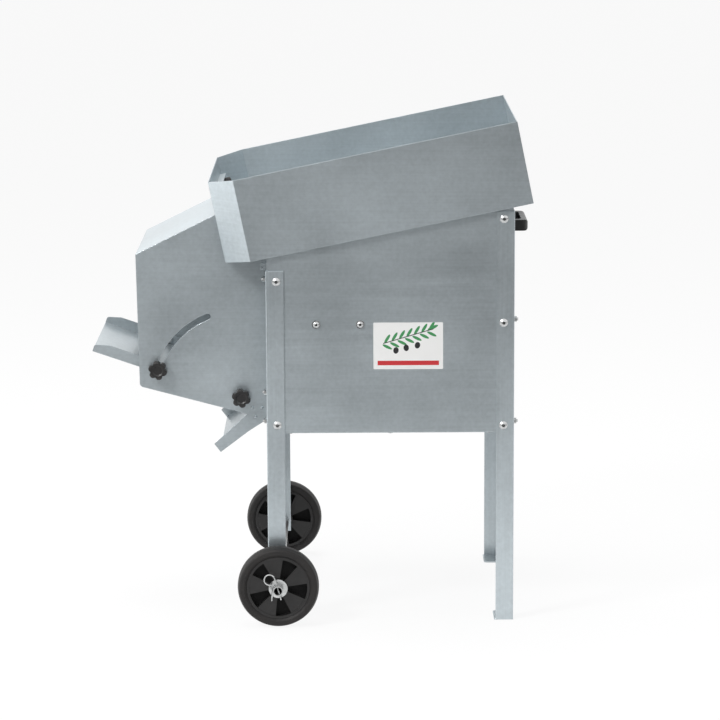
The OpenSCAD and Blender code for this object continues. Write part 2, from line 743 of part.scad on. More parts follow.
// Outlet chute: a floor with two flanges inside the hood's tabs
module outlet_chute() {
    u = polar(1, chute_slope);
    n = [-u[1], u[0]];
    end = [panel_x0, chute_tip_z + (panel_x0 - chute_tip[0]) * tan(chute_slope)];
    tip_top = chute_tip + n * chute_flange;
    break_x = tab_x + 1;
    break = [break_x, tip_top[1] + (break_x - tip_top[0]) * tan(chute_slope + 5.4)];
    ear = [break_x + 6, pivot_z - 12];
    color(zinc) difference() {
        union() {
            side_cut(-hood_in, hood_in)
                polygon([chute_tip, end, end + [0, panel_t / cos(chute_slope)], chute_tip + n * panel_t]);
            translate([panel_x0 - panel_t, -hood_in, end[1] - hood_flange])
                cube([panel_t, 2 * hood_in, hood_flange]);
            for (y = [-hood_in, hood_in - panel_t])
                side_cut(y, y + panel_t) polygon([chute_tip, end, [panel_x0, ear[1]], ear, break, tip_top]);
        }
        for (p = chute_rivets, far = [false, true])
            on_side(far, p[0], p[1], hood_in - panel_t - cut) cylinder(d = 4.4, h = panel_t + 2 * cut);
    }
}

// Tray, drawn in its own frame: the tip is at -X and the pivot at the origin
module tray() {
    high = [-tray_reach + 28, tray_flange - stud_rise];
    side = concat([[-tray_reach, -stud_rise], [tray_tail, -stud_rise], [tray_tail, high[1]], high],
        fillet(high, [-tray_reach, tray_tip - stud_rise - 1], [-tray_reach, -stud_rise], 5));
    color(zinc) in_tray() difference() {
        union() {
            side_cut(-tray_y, -tray_y + panel_t) polygon(side);
            side_cut(tray_y - panel_t, tray_y) polygon(side);
            translate([-tray_reach, -tray_y, -stud_rise]) cube([tray_reach + tray_tail, tray_w, panel_t]);
        }
        for (far = [false, true]) {
            on_side(far, 0, 0, tray_y - panel_t - cut)
                cylinder(d = stud_d + 2 * fit, h = panel_t + 2 * cut);
            on_side(far, -clamp_r, 0, tray_y - panel_t - cut)
                cylinder(d = stud_d + hole_gap, h = panel_t + 2 * cut);
        }
    }
}
module stud(head_gap) {
    seat = tray_y - panel_t - head_gap;
    translate([0, 0, seat - stud_head_h]) cylinder(d = stud_head_d, h = stud_head_h);
    translate([0, 0, seat - cut]) cylinder(d = stud_d, h = stud_end - seat + cut);
}
module clamp_studs() color(steel) in_tray() for (far = [false, true]) on_side(far, -clamp_r, 0, 0) stud(0);
module pivot_studs() color(steel) in_tray() for (far = [false, true]) on_side(far, 0, 0, 0) stud(gap);
module clamp_spacers() {
    color(steel) in_tray() for (far = [false, true]) on_side(far, -clamp_r, 0, 0) {
        translate([0, 0, tray_y]) ring_plate(spacer_d, stud_d + 0.2, hood_in - tray_y - gap);
        translate([0, 0, hood_y + gap]) ring_plate(washer_d, stud_d + 0.2, washer_t);
    }
}
module pivot_spacers() {
    color(steel) in_tray() for (far = [false, true]) on_side(far, 0, 0, 0) {
        translate([0, 0, tray_y + gap]) ring_plate(spacer_d, stud_d + 0.2, hood_in - tray_y - gap);
        translate([0, 0, hood_y]) ring_plate(washer_d, stud_d + 0.2, washer_t + gap);
    }
}
module tray_knob(far, x) in_tray() on_side(far, x, 0, knob_seat) star_knob(stud_d + 2 * fit);
module clamp_knob_near() tray_knob(false, -clamp_r);
module clamp_knob_far() tray_knob(true, -clamp_r);
module pivot_knob_near() tray_knob(false, 0);
module pivot_knob_far() tray_knob(true, 0);

// Motor under its cross bracket
module motor_bracket() {
    half = bracket_pitch / 2 + 17;
    side = 26;
    color(zinc) difference() {
        union() {
            translate([motor_x - half, -inner_y, bracket_top - bracket_t])
                cube([2 * half, 2 * inner_y, bracket_t]);
            for (s = [-1, 1])
                translate([motor_x - half, s > 0 ? inner_y - bracket_t : -inner_y, bracket_top - 36])
                    cube([2 * half, bracket_t, 36]);
            for (x = [motor_x - half, motor_x + half - bracket_t])
                translate([x, -inner_y + 20, bracket_top - bracket_t])
                    cube([bracket_t, 2 * inner_y - 40, side]);
        }
        for (far = [false, true], x = bracket_xs)
            on_side(far, x, bracket_z, inner_y - bracket_t - cut)
                cylinder(d = screw_d + hole_gap, h = bracket_t + 2 * cut);
        for (p = motor_feet)
            translate([p[0], p[1], bracket_top - bracket_t - cut])
                cylinder(d = screw_d + hole_gap, h = bracket_t + 2 * cut);
    }
}
module along_motor(x) translate([x, 0, fan_z]) rotate([0, 90, 0]) children();
motor_x0 = motor_x - motor_half;
motor_x1 = motor_x + motor_half;
module motor_body() {
    fins = 28;
    color("#5f6a70") difference() {
        union() {
            along_motor(motor_x0) cylinder(r = motor_r, h = 2 * motor_half);
            along_motor(motor_x0 + 4)
                for (k = [0 : fins - 1]) rotate(360 * (k + 0.5) / fins)
                    translate([motor_r - 2, -1, 0]) cube([8, 2, 2 * motor_half - 8]);
            along_motor(motor_x0 - shield_t) cylinder(r1 = motor_r - 22, r2 = motor_r, h = shield_t);
            along_motor(motor_x1) cylinder(r = motor_r - 2, h = shield_t);
            translate([motor_x - 56, -68, fan_z + motor_centre - 10]) cube([112, 136, 10]);
            for (x = [-50, 38], s = [-1, 1])
                translate([motor_x + x, s > 0 ? 34 : -60, fan_z + 25]) cube([12, 26, motor_centre - 30]);
        }
        along_motor(motor_x0 - shield_t - cut)
            cylinder(d = shaft_d + 8, h = 2 * (motor_half + shield_t + cut));
        along_motor(motor_x0 - shield_t - cut) cylinder(r = bearing_r, h = bearing_w + cut);
        along_motor(motor_x1 + shield_t - bearing_w) cylinder(r = bearing_r, h = bearing_w + cut);
        for (p = motor_feet)
            translate([p[0], p[1], fan_z + motor_centre - 10 - cut])
                cylinder(d = screw_d + hole_gap, h = 10 + 2 * cut);
    }
}
module motor_cowl() {
    color(plastic) along_motor(motor_x1 + 4) difference() {
        cylinder(r = motor_r + 1.5, h = cowl_len);
        translate([0, 0, -cut]) cylinder(r = motor_r - 2, h = cowl_len - cowl_t + cut);
        for (r = [18, 34, 50], k = [0 : 7]) rotate(45 * k + 22.5)
            translate([r - 5, -3, cowl_len - cowl_t - cut]) cube([10, 6, cowl_t + 2 * cut]);
    }
}
module motor_bearings() {
    color(steel) {
        along_motor(motor_x0 - shield_t) ring_plate(2 * bearing_r, shaft_d + 2 * fit, bearing_w);
        along_motor(motor_x1 + shield_t - bearing_w) ring_plate(2 * bearing_r, shaft_d + 2 * fit, bearing_w);
    }
}
module motor_shaft() {
    color(steel) {
        along_motor(shaft_front) cylinder(d = shaft_d, h = motor_x1 + shield_t + 12 - shaft_front);
        along_motor(motor_x0 + 10) cylinder(d = shaft_d + 6, h = 2 * motor_half - 20);
    }
}
module fan_hub() {
    color("#3d4245") along_motor(fan_x0) difference() {
        union() {
            cylinder(r = hub_r, h = fan_dp);
            translate([0, 0, -6]) cylinder(r1 = hub_r - 14, r2 = hub_r, h = 6);
        }
        translate([0, 0, -8]) cylinder(d = shaft_d, h = fan_dp + 10);
    }
}
module fan_blades() {
    count = 6;
    chord = 62;
    color("#3d4245") along_motor(fan_x0 + fan_dp / 2) intersection() {
        difference() {
            translate([0, 0, -fan_dp / 2]) cylinder(d = fan_d, h = fan_dp);
            translate([0, 0, -fan_dp]) cylinder(r = hub_r, h = 2 * fan_dp);
        }
        for (k = [0 : count - 1]) rotate(360 * k / count) rotate([24, 0, 0])
            translate([hub_r - 10, -chord / 2, -1]) cube([fan_d / 2, chord, 2]);
    }
}
module fan_ring() {
    color(zinc) along_motor(panel_x0 + panel_t) difference() {
        union() {
            cylinder(r = ring_r + ring_t, h = ring_len);
            cylinder(r = guard_r, h = ring_t);
        }
        translate([0, 0, -cut]) cylinder(r = ring_r, h = ring_len + 2 * cut);
        for (a = guard_angles) rotate([0, 0, a]) translate([0, guard_r - 4.5, -cut])
            cylinder(d = sheet_screw_d + hole_gap, h = ring_t + 2 * cut);
    }
}
// Guards over the air outlet and inlet: a flat ring, and straight bars on its fan's side
guard_t = 3;
guard_lip = 6;
guard_bar_w = 4;
guard_bar_t = 3;
guard_bar_count = 8;
module guard_ring() {
    difference() {
        ring_plate(2 * guard_r, 2 * (ring_r - guard_lip), guard_t);
        for (a = guard_angles) rotate([0, 0, a]) translate([0, guard_r - 4.5, -cut])
            cylinder(d = sheet_screw_d + hole_gap, h = guard_t + 2 * cut);
    }
}
module guard_grid() {
    pitch = 2 * (ring_r - guard_lip) / guard_bar_count;
    intersection() {
        cylinder(r = ring_r - 1, h = guard_bar_t);
        for (k = [0 : guard_bar_count - 1])
            translate([(k + 0.5) * pitch - ring_r + guard_lip - guard_bar_w / 2, -ring_r, 0])
                cube([guard_bar_w, 2 * ring_r, guard_bar_t]);
    }
}
module fan_guards() {
    color(steel) {
        along_motor(panel_x0 - guard_t) guard_ring();
        along_motor(panel_x1) guard_ring();
    }
}
module guard_bars() {
    color(steel) {
        along_motor(panel_x0) guard_grid();
        along_motor(panel_x1 - guard_bar_t) guard_grid();
    }
}

// Switch box on the far side panel, with two buttons and a gland for the lead
module switch_box() {
    y0 = panel_y;
    inside = [switch_l - 2 * switch_wall, switch_dp - 2 * switch_wall, switch_h - 2 * switch_wall];
    color(plastic) difference() {
        union() {
            translate([switch_x - switch_l / 2, y0, switch_z - switch_h / 2])
                cube([switch_l, switch_dp, switch_h]);
            for (s = [-1, 1]) on_side(true, switch_x, switch_z + s * button_pitch / 2, y0 + switch_dp - cut)
                cylinder(d = button_d + 8, h = 4 + cut);
        }
        translate([switch_x - inside[0] / 2, y0 + switch_wall, switch_z - inside[2] / 2]) cube(inside);
        for (s = [-1, 1]) on_side(true, switch_x, switch_z + s * button_pitch / 2, y0 + switch_dp / 2)
            cylinder(d = button_d + 2 * fit, h = switch_dp);
        translate([switch_x, y0 + switch_dp / 2, switch_z - switch_h / 2 - cut])
            cylinder(d = 16 + hole_gap, h = switch_wall + 2 * cut);
    }
}
module push_button(s, proud) {
    seat = panel_y + switch_dp - switch_wall;
    on_side(true, switch_x, switch_z + s * button_pitch / 2, seat - gap - 3) {
        cylinder(d = button_d + 6, h = 3);
        cylinder(d = button_d, h = 3 + gap + switch_wall + 4 + proud);
        translate([0, 0, -10]) cylinder(d = 8, h = 11);
    }
}
module start_button() color("#2f8f3f") push_button(1, button_travel + 0.5);
module stop_button() color("#b02a25") push_button(-1, button_travel + 2);
module cable_gland() {
    color(plastic) translate([switch_x, panel_y + switch_dp / 2, switch_z - switch_h / 2]) difference() {
        union() {
            translate([0, 0, -6]) cylinder(d = 22 / cos(30), h = 6, $fn = 6);
            translate([0, 0, -1]) cylinder(d = 16, h = 1 + switch_wall + 6);
            translate([0, 0, -22]) cylinder(d1 = 15, d2 = 20, h = 16 + 0.5);
        }
        translate([0, 0, -22 - cut]) cylinder(d = 8, h = 40);
    }
}

// Bow handle: an arch of one section, flat against the rear panel
module bow_handle() {
    reach = handle_reach + leg_t;
    half = handle_len / 2;
    r = 13;
    inner_r = 11;
    edge_r = 6;
    x0 = panel_x1;
    x1 = x0 + reach;
    z0 = handle_z - handle_h / 2;
    z1 = handle_z + handle_h / 2;
    outer = concat([[x0, -half]], fillet([x0, -half], [x1, -half], [x1, half], r, 8),
        fillet([x1, -half], [x1, half], [x0, half], r, 8), [[x0, half]]);
    section = concat([[x0 - cut, z0 - cut], [x1 - 2 * edge_r, z0 - cut], [x1 - 2 * edge_r, z0]],
        fillet([x0, z0], [x1, z0], [x1, z1], edge_r), fillet([x1, z0], [x1, z1], [x0, z1], edge_r),
        [[x1 - 2 * edge_r, z1], [x1 - 2 * edge_r, z1 + cut], [x0 - cut, z1 + cut]]);
    gap_y = half - handle_foot;
    gap_x = x1 - handle_bar;
    inner = concat([[x0 - cut, -gap_y]], fillet([x0, -gap_y], [gap_x, -gap_y], [gap_x, gap_y], inner_r, 8),
        fillet([gap_x, -gap_y], [gap_x, gap_y], [x0, gap_y], inner_r, 8), [[x0 - cut, gap_y]]);
    color(plastic) difference() {
        intersection() {
            translate([0, 0, z0]) linear_extrude(handle_h) polygon(outer);
            side_cut(-half - cut, half + cut) polygon(section);
        }
        translate([0, 0, z0 - cut]) linear_extrude(handle_h + 2 * cut) polygon(inner);
        for (s = [-1, 1]) translate([x0 - cut, s * handle_bolt_y, handle_z])
            rotate([0, 90, 0]) cylinder(d = bolt_d + 0.1, h = 18 + cut);
    }
}

// Axle, wheels and what keeps them on
module axle_tube() {
    color(steel) translate([axle_x, -axle_half, axle_z]) rotate([-90, 0, 0]) difference() {
        cylinder(d = axle_d, h = 2 * axle_half);
        translate([0, 0, -cut]) cylinder(d = axle_bore, h = 2 * axle_half + 2 * cut);
        for (z = [axle_half - clip_y, axle_half + clip_y]) translate([0, 0, z])
            rotate([0, 0, clip_lean]) rotate([90, 0, 0])
                translate([0, 0, -axle_d]) cylinder(d = clip_wire + hole_gap, h = 2 * axle_d);
    }
}
module wheel_spacers() {
    color(steel) for (far = [false, true]) on_side(far, axle_x, axle_z, side_y)
        ring_plate(30, axle_d + 0.2, wheel_gap - gap);
}
module axle_washers() {
    color(steel) for (far = [false, true]) on_side(far, axle_x, axle_z, wheel_y1 + gap)
        ring_plate(37, axle_d + 0.2, 2);
}

// R-clip: a straight leg through the axle, a loop, and a sprung leg round the outside
clip_lean = -16;
clip_loop = 10.5;
clip_leg = 24;
clip_path = concat(
    [[0, -21], [0, clip_leg]],
    [for (i = [1 : 13]) [-clip_loop, clip_leg] + polar(clip_loop, 22 * i)],
    [[-14, 8], [-12.2, 4], [-12, 0], [-12.6, -4], [-15, -9], [-17, -14], [-18, -18]]);
function clip_ring(p, dir, sides) = [for (k = [0 : sides - 1])
    let (a = 360 * k / sides, n = [-dir[1], dir[0]] * cos(a) * clip_wire / 2)
    [p[0] + n[0], sin(a) * clip_wire / 2, p[1] + n[1]]];
module wire(path, sides = 8) {
    last = len(path) - 1;
    dirs = [for (i = [0 : last]) unit(path[min(i + 1, last)] - path[max(i - 1, 0)])];
    points = [for (i = [0 : last]) each clip_ring(path[i], dirs[i], sides)];
    walls = [for (i = [0 : last - 1], k = [0 : sides - 1])
        [i * sides + k, i * sides + (k + 1) % sides, (i + 1) * sides + (k + 1) % sides, (i + 1) * sides + k]];
    caps = [[for (k = [sides - 1 : -1 : 0]) k], [for (k = [0 : sides - 1]) last * sides + k]];
    polyhedron(points, concat(walls, caps));
}
module r_clips() {
    color(steel) for (s = [-1, 1])
        translate([axle_x, s * clip_y, axle_z]) rotate([0, clip_lean, 0]) wire(clip_path);
}

// Wheel rim: hub, barrel and a middle web with five raised sectors on each face, between which
// the pockets lie; it stands on its inner face
module wheel_rim() {
    hub = 18;
    wall = 5;
    face = tyre_w - 3;
    web_t = 6;
    web0 = (tyre_w - web_t) / 2;
    web1 = web0 + web_t;
    r = rim_d / 2;
    half = 20;
    sector = concat([for (a = [-1, 0, 1]) polar(r - 2, a * half)],
        [polar(hub - 2, half), polar(hub - 2, -half)]);
    color(plastic) difference() {
        union() {
            cylinder(r = hub, h = tyre_w);
            translate([0, 0, web0]) cylinder(r = r, h = web_t);
            translate([0, 0, tyre_w - face]) ring_plate(2 * r, 2 * (r - wall), 2 * face - tyre_w);
            for (k = [0 : 4], span = [[tyre_w - face + 1, web0 + 1], [web1 - 1, face - 1]])
                rotate(72 * k + 28.4) translate([0, 0, span[0]])
                    linear_extrude(span[1] - span[0]) polygon(sector);
        }
        translate([0, 0, -cut]) cylinder(d = axle_d + 2 * fit, h = tyre_w + 2 * cut);
    }
}
module tyre() {
    r0 = rim_d / 2;
    r1 = tyre_d / 2;
    w = tyre_w;
    color("#1b1b1b") rotate_extrude($fn = 96) polygon(concat([[r0, 4]],
        fillet([r0, 4], [r0 + 5, 0], [r1, 0], 3, 3), fillet([r0, 0], [r1 - 3, 0], [r1, w / 2], 5, 4),
        [[r1, w * 0.35], [r1, w * 0.65]], fillet([r1, w / 2], [r1 - 3, w], [r0, w], 5, 4),
        fillet([r1, w], [r0 + 5, w], [r0, w - 4], 3, 3), [[r0, w - 4]]));
}
module wheel_rim_near() on_side(false, axle_x, axle_z, wheel_y0) wheel_rim();
module tyre_near() on_side(false, axle_x, axle_z, wheel_y0) tyre();
module wheel_rim_far() on_side(true, axle_x, axle_z, wheel_y0) wheel_rim();
module tyre_far() on_side(true, axle_x, axle_z, wheel_y0) tyre();

leg_front_near();
leg_front_far();
leg_rear_near();
leg_rear_far();
side_panel_near();
side_panel_far();
front_panel();
rear_panel();
bottom_panel();
button_screws();
large_nuts();
panel_bolts();
panel_nuts();
sheet_screws();
hopper_floor();
hopper_side_near();
hopper_side_far();
hopper_end_panel();
hopper_rear_wall();
gate_studs();
gate();
gate_knob_near();
gate_knob_far();
hood_side_near();
hood_side_far();
hood_top();
outlet_chute();
rivets();
tray();
clamp_studs();
clamp_spacers();
clamp_knob_near();
clamp_knob_far();
pivot_studs();
pivot_spacers();
pivot_knob_near();
pivot_knob_far();
motor_bracket();
motor_body();
motor_cowl();
motor_bearings();
motor_shaft();
fan_hub();
fan_blades();
fan_ring();
fan_guards();
guard_bars();
switch_box();
start_button();
stop_button();
cable_gland();
bow_handle();
axle_tube();
wheel_spacers();
axle_washers();
r_clips();
wheel_rim_near();
tyre_near();
wheel_rim_far();
tyre_far();
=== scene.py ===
import json
import math
import bmesh
import bpy
from mathutils import Matrix, Vector


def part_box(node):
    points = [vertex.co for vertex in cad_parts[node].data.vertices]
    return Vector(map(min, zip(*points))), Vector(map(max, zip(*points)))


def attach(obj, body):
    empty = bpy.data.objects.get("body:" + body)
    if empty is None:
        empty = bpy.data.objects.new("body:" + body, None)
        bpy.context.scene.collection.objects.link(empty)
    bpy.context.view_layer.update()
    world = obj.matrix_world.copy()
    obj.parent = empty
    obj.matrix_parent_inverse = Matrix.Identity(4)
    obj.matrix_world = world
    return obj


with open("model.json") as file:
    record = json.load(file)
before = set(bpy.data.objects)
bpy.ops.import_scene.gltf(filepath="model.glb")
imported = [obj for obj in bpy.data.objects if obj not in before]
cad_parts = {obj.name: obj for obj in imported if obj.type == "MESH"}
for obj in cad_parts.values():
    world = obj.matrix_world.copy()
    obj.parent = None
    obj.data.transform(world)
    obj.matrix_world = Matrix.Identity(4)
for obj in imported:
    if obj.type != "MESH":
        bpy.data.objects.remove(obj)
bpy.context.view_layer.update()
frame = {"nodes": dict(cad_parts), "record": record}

# Colours in linear light
ZINC = (0.45, 0.5, 0.525)
BRIGHT_ZINC = (0.6, 0.61, 0.61)
SOFT_BLACK = (0.01, 0.0095, 0.0095)
PRINT_WHITE = (0.8, 0.8, 0.79)
PRINT_GREEN = (0.05, 0.27, 0.09)
PRINT_RED = (0.55, 0.03, 0.035)
PRINT_BLACK = (0.02, 0.02, 0.022)

# Sizes in metres: the soft edge of bent sheet, the depth over which a screw's socket is painted dark as
# shade, the wheels' middle plane across the machine, and the depth of their pockets, over which painted
# shade darkens them
SHEET_EDGE = 0.0015
SOCKET_DEPTH = 0.004
WHEEL_MIDDLE = 0.287
POCKET_DEPTH = 0.016

# Brightness that metal mirrors: the floor far off in front, how much it gains close by, its
# most, and the air in front, above and behind
FLOOR_FAR = 0.2
FLOOR_NEAR = 1.5
FLOOR_MOST = 1.2
FRONT_AIR = 0.22
HIGH_AIR = 1.05
BACK_AIR = 0.95
WORLD_LIGHT = 0.42


def tint(color, factor):
    return tuple(channel * factor for channel in color)


class Wire:
    """A shader socket that takes part in written-out maths."""

    def __init__(self, nodes, socket):
        self.nodes = nodes
        self.socket = socket

    def math(self, operation, first, second=0.0):
        return self.nodes.add("ShaderNodeMath", {"operation": operation}, {0: first, 1: second})

    def __add__(self, other):
        return self.math("ADD", self, other)

    def __sub__(self, other):
        return self.math("SUBTRACT", self, other)

    def __rsub__(self, other):
        return self.math("SUBTRACT", other, self)

    def __mul__(self, other):
        return self.math("MULTIPLY", self, other)

    def __truediv__(self, other):
        return self.math("DIVIDE", self, other)

    def __lt__(self, other):
        return self.math("LESS_THAN", self, other)

    def __abs__(self):
        return self.math("ABSOLUTE", self)

    def __or__(self, other):
        return self.math("MAXIMUM", self, other)

    def __and__(self, other):
        return self.math("MINIMUM", self, other)

    __radd__ = __add__
    __rmul__ = __mul__


class Nodes:
    """A node tree in which every node is made by add()."""

    def __init__(self, tree):
        self.tree = tree

    def add(self, kind, settings=None, inputs=None, out=0):
        node = self.tree.nodes.new(kind)
        for name, value in (settings or {}).items():
            if name == "stops":
                self.fill_ramp(node.color_ramp, value)
            else:
                setattr(node, name, value)
        for name, value in (inputs or {}).items():
            self.feed(node.inputs[name], value)
        return Wire(self, node.outputs[out])

    def feed(self, socket, value):
        if isinstance(value, Wire):
            self.tree.links.new(value.socket, socket)
        elif socket.type == "RGBA":
            socket.default_value = (*value, 1)
        else:
            socket.default_value = value

    @staticmethod
    def fill_ramp(ramp, stops):
        while len(ramp.elements) < len(stops):
            ramp.elements.new(0.5)
        for element, (place, color) in zip(ramp.elements, stops):
            element.position = place
            element.color = (*color, 1)


class Finish(Nodes):
    """A material around the Principled shader, with patterns laid on Object coordinates."""

    def __init__(self, name, **sockets):
        self.material = bpy.data.materials.new(name)
        self.material.use_nodes = True
        super().__init__(self.material.node_tree)
        self.shader = self.tree.nodes["Principled BSDF"]
        self.place = self.add("ShaderNodeTexCoord", out="Object")
        for name, value in sockets.items():
            self.set(name.replace("_", " "), value)

    def set(self, name, value):
        self.feed(self.shader.inputs[name], value)

    def noise(self, scale, detail=3.0, stretch=None):
        place = self.place
        if stretch:
            place = self.add("ShaderNodeMapping", inputs={"Vector": place, "Scale": stretch})
        return self.add("ShaderNodeTexNoise", inputs={"Vector": place, "Scale": scale, "Detail": detail})

    def ramp(self, value, *stops):
        return self.add("ShaderNodeValToRGB", {"stops": stops}, {0: value})

    def blend(self, mask, under, over):
        return self.add("ShaderNodeMix", {"data_type": "RGBA"}, {0: mask, 6: under, 7: over}, 2)

    def hollow_shade(self, depth):
        """1 in the open and less in a hollow up to this deep, a mask for painting shade into hollows."""
        inputs = {"Color": (1, 1, 1), "Distance": depth}
        open_sky = self.add("ShaderNodeAmbientOcclusion", {"samples": 6, "only_local": True}, inputs, "AO")
        return open_sky * open_sky

    def bump(self, height, strength, distance, edge=0.0):
        inputs = {"Height": height, "Strength": strength, "Distance": distance}
        if edge:
            inputs["Normal"] = self.add("ShaderNodeBevel", {"samples": 4}, {"Radius": edge})
        self.set("Normal", self.add("ShaderNodeBump", inputs=inputs))


def zinc_sheet(name, rolling, painted_brightness=1.0):
    """Galvanised sheet: streaks along the rolling, a faint spangle and soft stains."""
    # painted_brightness lightens the whole sheet: painted light, for lit copies of this material
    color = tint(ZINC, painted_brightness)
    f = Finish(name, Metallic=0.72)
    streak = f.noise(1.0, 4.0, rolling)
    stain = f.noise(4.0, 5.0)
    fleck = f.noise(150.0, 2.0)
    spangle = f.add("ShaderNodeTexVoronoi", inputs={"Vector": f.place, "Scale": 70.0})
    tone = (streak - 0.5) * 0.2 + (stain - 0.5) * 0.6 + (fleck - 0.5) * 0.22 + (spangle - 0.5) * 0.06 + 0.5
    f.set("Base Color", f.ramp(tone, (0.3, tint(color, 0.8)), (0.7, tint(color, 1.18))))
    f.set("Roughness", (streak - 0.5) * 0.1 + (stain - 0.5) * 0.2 + 0.33)
    f.bump(streak * 0.6 + spangle * 0.4, 0.12, 0.0004, SHEET_EDGE)
    return f.material


def bright_metal(name, color, rough):
    """Zinc-plated steel of bolts, wire and tube, slightly dulled in spots, with painted shade darkening
    its hollows such as screw sockets.
    """
    f = Finish(name, Metallic=0.95)
    spots = f.noise(160.0)
    plated = f.ramp(spots, (0.35, tint(color, 0.75)), (0.65, color))
    # painted shade: the colour goes almost black in hollows such as screw sockets
    f.set("Base Color", f.blend(f.hollow_shade(SOCKET_DEPTH), tint(color, 0.05), plated))
    f.set("Roughness", (spots - 0.5) * 0.25 + rough)
    f.bump(spots, 0.1, 0.0002)
    return f.material


def moulded_plastic(name, color, rough):
    """Black moulded plastic with a fine eroded grain and a little dust."""
    f = Finish(name)
    dust = f.noise(14.0, 4.0)
    f.set("Base Color", f.ramp(dust, (0.4, color), (0.8, tint(color, 1.8))))
    f.set("Roughness", (dust - 0.5) * 0.2 + rough)
    f.bump(f.noise(900.0, 2.0), 0.25, 0.0002)
    return f.material


def rim_plastic():
    """The wheel's plastic, with painted shade darkening the pockets down to its middle web."""
    f = Finish("rim_plastic", Specular_IOR_Level=0.4)
    across = f.add("ShaderNodeSeparateXYZ", inputs={0: f.place}, out="Y")
    # painted shade: depth runs from 0 at the middle web to 1 at the pocket's mouth, and the colour goes
    # near black towards the web
    depth = abs(abs(across) - WHEEL_MIDDLE) / POCKET_DEPTH & 1.0
    dust = f.noise(40.0, 4.0)
    color = f.ramp(dust, (0.4, tint(SOFT_BLACK, 1.1)), (0.8, tint(SOFT_BLACK, 2.0)))
    f.set("Base Color", f.blend(depth * depth, tint(SOFT_BLACK, 0.04), color))
    f.set("Roughness", (dust - 0.5) * 0.2 + 0.95 - depth * 0.5)
    f.bump(f.noise(900.0, 2.0), 0.25, 0.0002)
    return f.material


def tyre_rubber():
    """Solid black rubber, slightly warm and dusty."""
    f = Finish("tyre_rubber", Specular_IOR_Level=0.35)
    dust = f.noise(30.0, 5.0)
    f.set("Base Color", f.ramp(dust, (0.35, (0.011, 0.01, 0.01)), (0.75, (0.02, 0.018, 0.017))))
    f.set("Roughness", (dust - 0.5) * 0.25 + 0.6)
    f.bump(f.noise(500.0, 2.0), 0.3, 0.0003)
    return f.material


def enamel(name, color, rough):
    """Even paint with a thin clear coat."""
    f = Finish(name, Coat_Weight=0.2)
    cloud = f.noise(8.0)
    f.set("Base Color", f.ramp(cloud, (0.3, tint(color, 0.85)), (0.7, color)))
    f.set("Roughness", (cloud - 0.5) * 0.15 + rough)
    f.bump(f.noise(220.0, 2.0), 0.15, 0.0003)
    return f.material


finishes = {
    "zinc": zinc_sheet("zinc_sheet", (6, 6, 260)),
    "fastener": bright_metal("fastener_zinc", BRIGHT_ZINC, 0.28),
    "axle": bright_metal("axle_zinc", tint(BRIGHT_ZINC, 0.88), 0.33),
    "guard": bright_metal("guard_steel", tint(BRIGHT_ZINC, 0.85), 0.35),
    "motor": enamel("motor_enamel", (0.1, 0.12, 0.13), 0.35),
    "knob": moulded_plastic("knob_plastic", SOFT_BLACK, 0.42),
    "handle": moulded_plastic("handle_plastic", SOFT_BLACK, 0.38),
    "black_plastic": moulded_plastic("housing_plastic", tint(SOFT_BLACK, 1.2), 0.42),
    "start": enamel("start_green", (0.03, 0.3, 0.06), 0.25),
    "stop": enamel("stop_red", (0.5, 0.02, 0.02), 0.25),
    "rim": rim_plastic(),
    "tyre": tyre_rubber(),
}
# Lit copies of the zinc sheet: the legs painted 5% lighter and the hopper 3% lighter as painted light; the
# legs' streaks also run upright
leg_zinc_painted_lighter = zinc_sheet("leg_zinc_painted_lighter", (260, 260, 6), 1.05)
hopper_zinc_painted_lighter = zinc_sheet("hopper_zinc_painted_lighter", (4, 4, 240), 1.03)


def dress_nodes():
    slot_of = {row["node"]: row["material_slot"] for row in frame["record"]["subparts"]}
    for name, obj in frame["nodes"].items():
        material = finishes[slot_of[name]]
        # the legs and hopper take the copies of the zinc sheet painted lighter as painted light
        if name.startswith("leg_"):
            material = leg_zinc_painted_lighter
        if name.startswith("hopper_"):
            material = hopper_zinc_painted_lighter
        if name == "rivets":
            material = finishes["zinc"]
        for slot in obj.material_slots:
            slot.material = material
        if not obj.material_slots:
            obj.data.materials.append(material)


# The printed plate's place on the near side panel, in metres
PLATE_LEFT = 0.1223
PLATE_LOW = 0.5068
PLATE_WIDE = 0.1362
PLATE_TALL = 0.0926
PLATE_THICK = 0.0003
PLATE_CORNER = 0.002


def plate_mesh(face_y):
    """A thin plate with rounded corners, lying on the panel's outer face."""
    right = PLATE_LEFT + PLATE_WIDE - PLATE_CORNER
    left = PLATE_LEFT + PLATE_CORNER
    high = PLATE_LOW + PLATE_TALL - PLATE_CORNER
    low = PLATE_LOW + PLATE_CORNER
    outline = []
    for x, z, start in ((right, high, 0), (left, high, 90), (left, low, 180), (right, low, 270)):
        for step in range(5):
            turn = math.radians(start + 22.5 * step)
            outline.append((x + PLATE_CORNER * math.cos(turn), face_y, z + PLATE_CORNER * math.sin(turn)))
    bm = bmesh.new()
    face = bm.faces.new([bm.verts.new(point) for point in outline])
    grown = bmesh.ops.extrude_face_region(bm, geom=[face])["geom"]
    front = [item for item in grown if isinstance(item, bmesh.types.BMVert)]
    bmesh.ops.translate(bm, verts=front, vec=(0, -PLATE_THICK, 0))
    bmesh.ops.recalc_face_normals(bm, faces=bm.faces[:])
    mesh = bpy.data.meshes.new("panel_plate")
    bm.to_mesh(mesh)
    bm.free()
    return mesh


